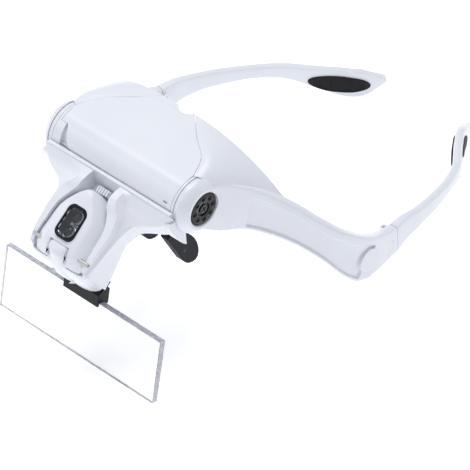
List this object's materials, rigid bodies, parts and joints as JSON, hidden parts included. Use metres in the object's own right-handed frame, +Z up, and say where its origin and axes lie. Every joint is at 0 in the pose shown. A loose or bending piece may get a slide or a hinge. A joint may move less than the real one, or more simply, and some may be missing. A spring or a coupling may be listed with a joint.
{
  "type": "lighted headband magnifier",
  "caption": "Eyeglass-style head magnifier with folding temples, a tilting lamp bracket with LEDs, a battery barrel and a plug-in rectangular lens.",
  "frame": {"origin": "centre of the footprint on the surface that it stands on", "axes": "+Z up, -Y towards the lens, +X to the left of the wearer"},
  "size_m": [0.1484, 0.2245, 0.0933],
  "materials": {
    "white_plastic": "glossy",
    "black_plastic": "satin",
    "black_gloss": "glossy",
    "black_rubber": "matte",
    "clear_lens": "polished",
    "lamp_clear": "polished",
    "steel": "satin",
    "mirror_plate": "polished",
    "led_body": "glossy",
    "cell_jacket": "glossy",
    "board": "satin"
  },
  "bodies": {
    "visor": {"frame": "white_plastic", "batteries": "cell_jacket", "battery_contacts": "steel", "nose_bridge": "black_plastic", "nose_pins": "steel"},
    "battery_cover": {"battery_cover": "white_plastic"},
    "bracket": {"bracket": "white_plastic", "left_knob": "black_plastic", "right_knob": "black_plastic", "pivot_screws": "steel", "lamp_pins": "steel"},
    "lamp": {"lamp_base": "white_plastic", "lamp_cover": "white_plastic", "lamp_bezel": "black_gloss", "lamp_window": "lamp_clear", "leds": "led_body", "reflector": "mirror_plate", "circuit_board": "board"},
    "lamp_switch": {"lamp_switch": "white_plastic"},
    "lens_cartridge": {"lens_clip": "black_plastic", "lens": "clear_lens"},
    "left_hinge_block": {"left_hinge_block": "white_plastic", "left_hinge_pin": "steel"},
    "left_release_button": {"left_release_button": "white_plastic"},
    "left_temple": {"left_temple": "white_plastic", "left_temple_pad": "black_rubber", "left_temple_grip": "black_rubber"},
    "left_nose_pad": {"left_nose_pad": "black_rubber"},
    "right_hinge_block": {"right_hinge_block": "white_plastic", "right_hinge_pin": "steel"},
    "right_release_button": {"right_release_button": "white_plastic"},
    "right_temple": {"right_temple": "white_plastic", "right_temple_pad": "black_rubber", "right_temple_grip": "black_rubber"},
    "right_nose_pad": {"right_nose_pad": "black_rubber"}
  },
  "joints": [
    {"name": "tilt", "type": "hinge", "parent": "visor", "child": "bracket", "pos_m": [0, -0.06738, 0.07833], "axis": [-1, 0, 0], "range_deg": [-10, 42]},
    {"name": "cover_lift", "type": "slide", "parent": "visor", "child": "battery_cover", "axis": [0, 0, 1], "range_m": [0, 0.015]},
    {"name": "lamp_aim", "type": "hinge", "parent": "bracket", "child": "lamp", "pos_m": [0, -0.10909, 0.06038], "axis": [1, 0, 0], "range_deg": [0, 45]},
    {"name": "lamp_switch_slide", "type": "slide", "parent": "bracket", "child": "lamp_switch", "axis": [1, 0, 0], "range_m": [0, 0.0025]},
    {"name": "lens_pull", "type": "slide", "parent": "bracket", "child": "lens_cartridge", "axis": [0, 0.5878, -0.809], "range_m": [0, 0.01]},
    {"name": "left_temple_release", "type": "slide", "parent": "visor", "child": "left_hinge_block", "axis": [-0.1392, 0.9903, 0], "range_m": [0, 0.014]},
    {"name": "left_button_press", "type": "slide", "parent": "visor", "child": "left_release_button", "axis": [-0.9903, -0.1392, 0], "range_m": [0, 0.0005], "stiffness_N_per_m": 400, "springref_m": -0.0005},
    {"name": "left_temple_fold", "type": "hinge", "parent": "left_hinge_block", "child": "left_temple", "pos_m": [0.06355, 0.01433, 0.02713], "axis": [0, 0, 1], "range_deg": [0, 80]},
    {"name": "left_nose_pad_swivel", "type": "hinge", "parent": "visor", "child": "left_nose_pad", "pos_m": [0.0111, -0.05218, 0.03073], "axis": [1, 0, 0], "range_deg": [-5, 5]},
    {"name": "right_temple_release", "type": "slide", "parent": "visor", "child": "right_hinge_block", "axis": [0.1392, 0.9903, 0], "range_m": [0, 0.014]},
    {"name": "right_button_press", "type": "slide", "parent": "visor", "child": "right_release_button", "axis": [0.9903, -0.1392, 0], "range_m": [0, 0.0005], "stiffness_N_per_m": 400, "springref_m": -0.0005},
    {"name": "right_temple_fold", "type": "hinge", "parent": "right_hinge_block", "child": "right_temple", "pos_m": [-0.06355, 0.01433, 0.02713], "axis": [0, 0, -1], "range_deg": [0, 68]},
    {"name": "right_nose_pad_swivel", "type": "hinge", "parent": "visor", "child": "right_nose_pad", "pos_m": [-0.0111, -0.05218, 0.03073], "axis": [1, 0, 0], "range_deg": [-5, 5]}
  ]
}
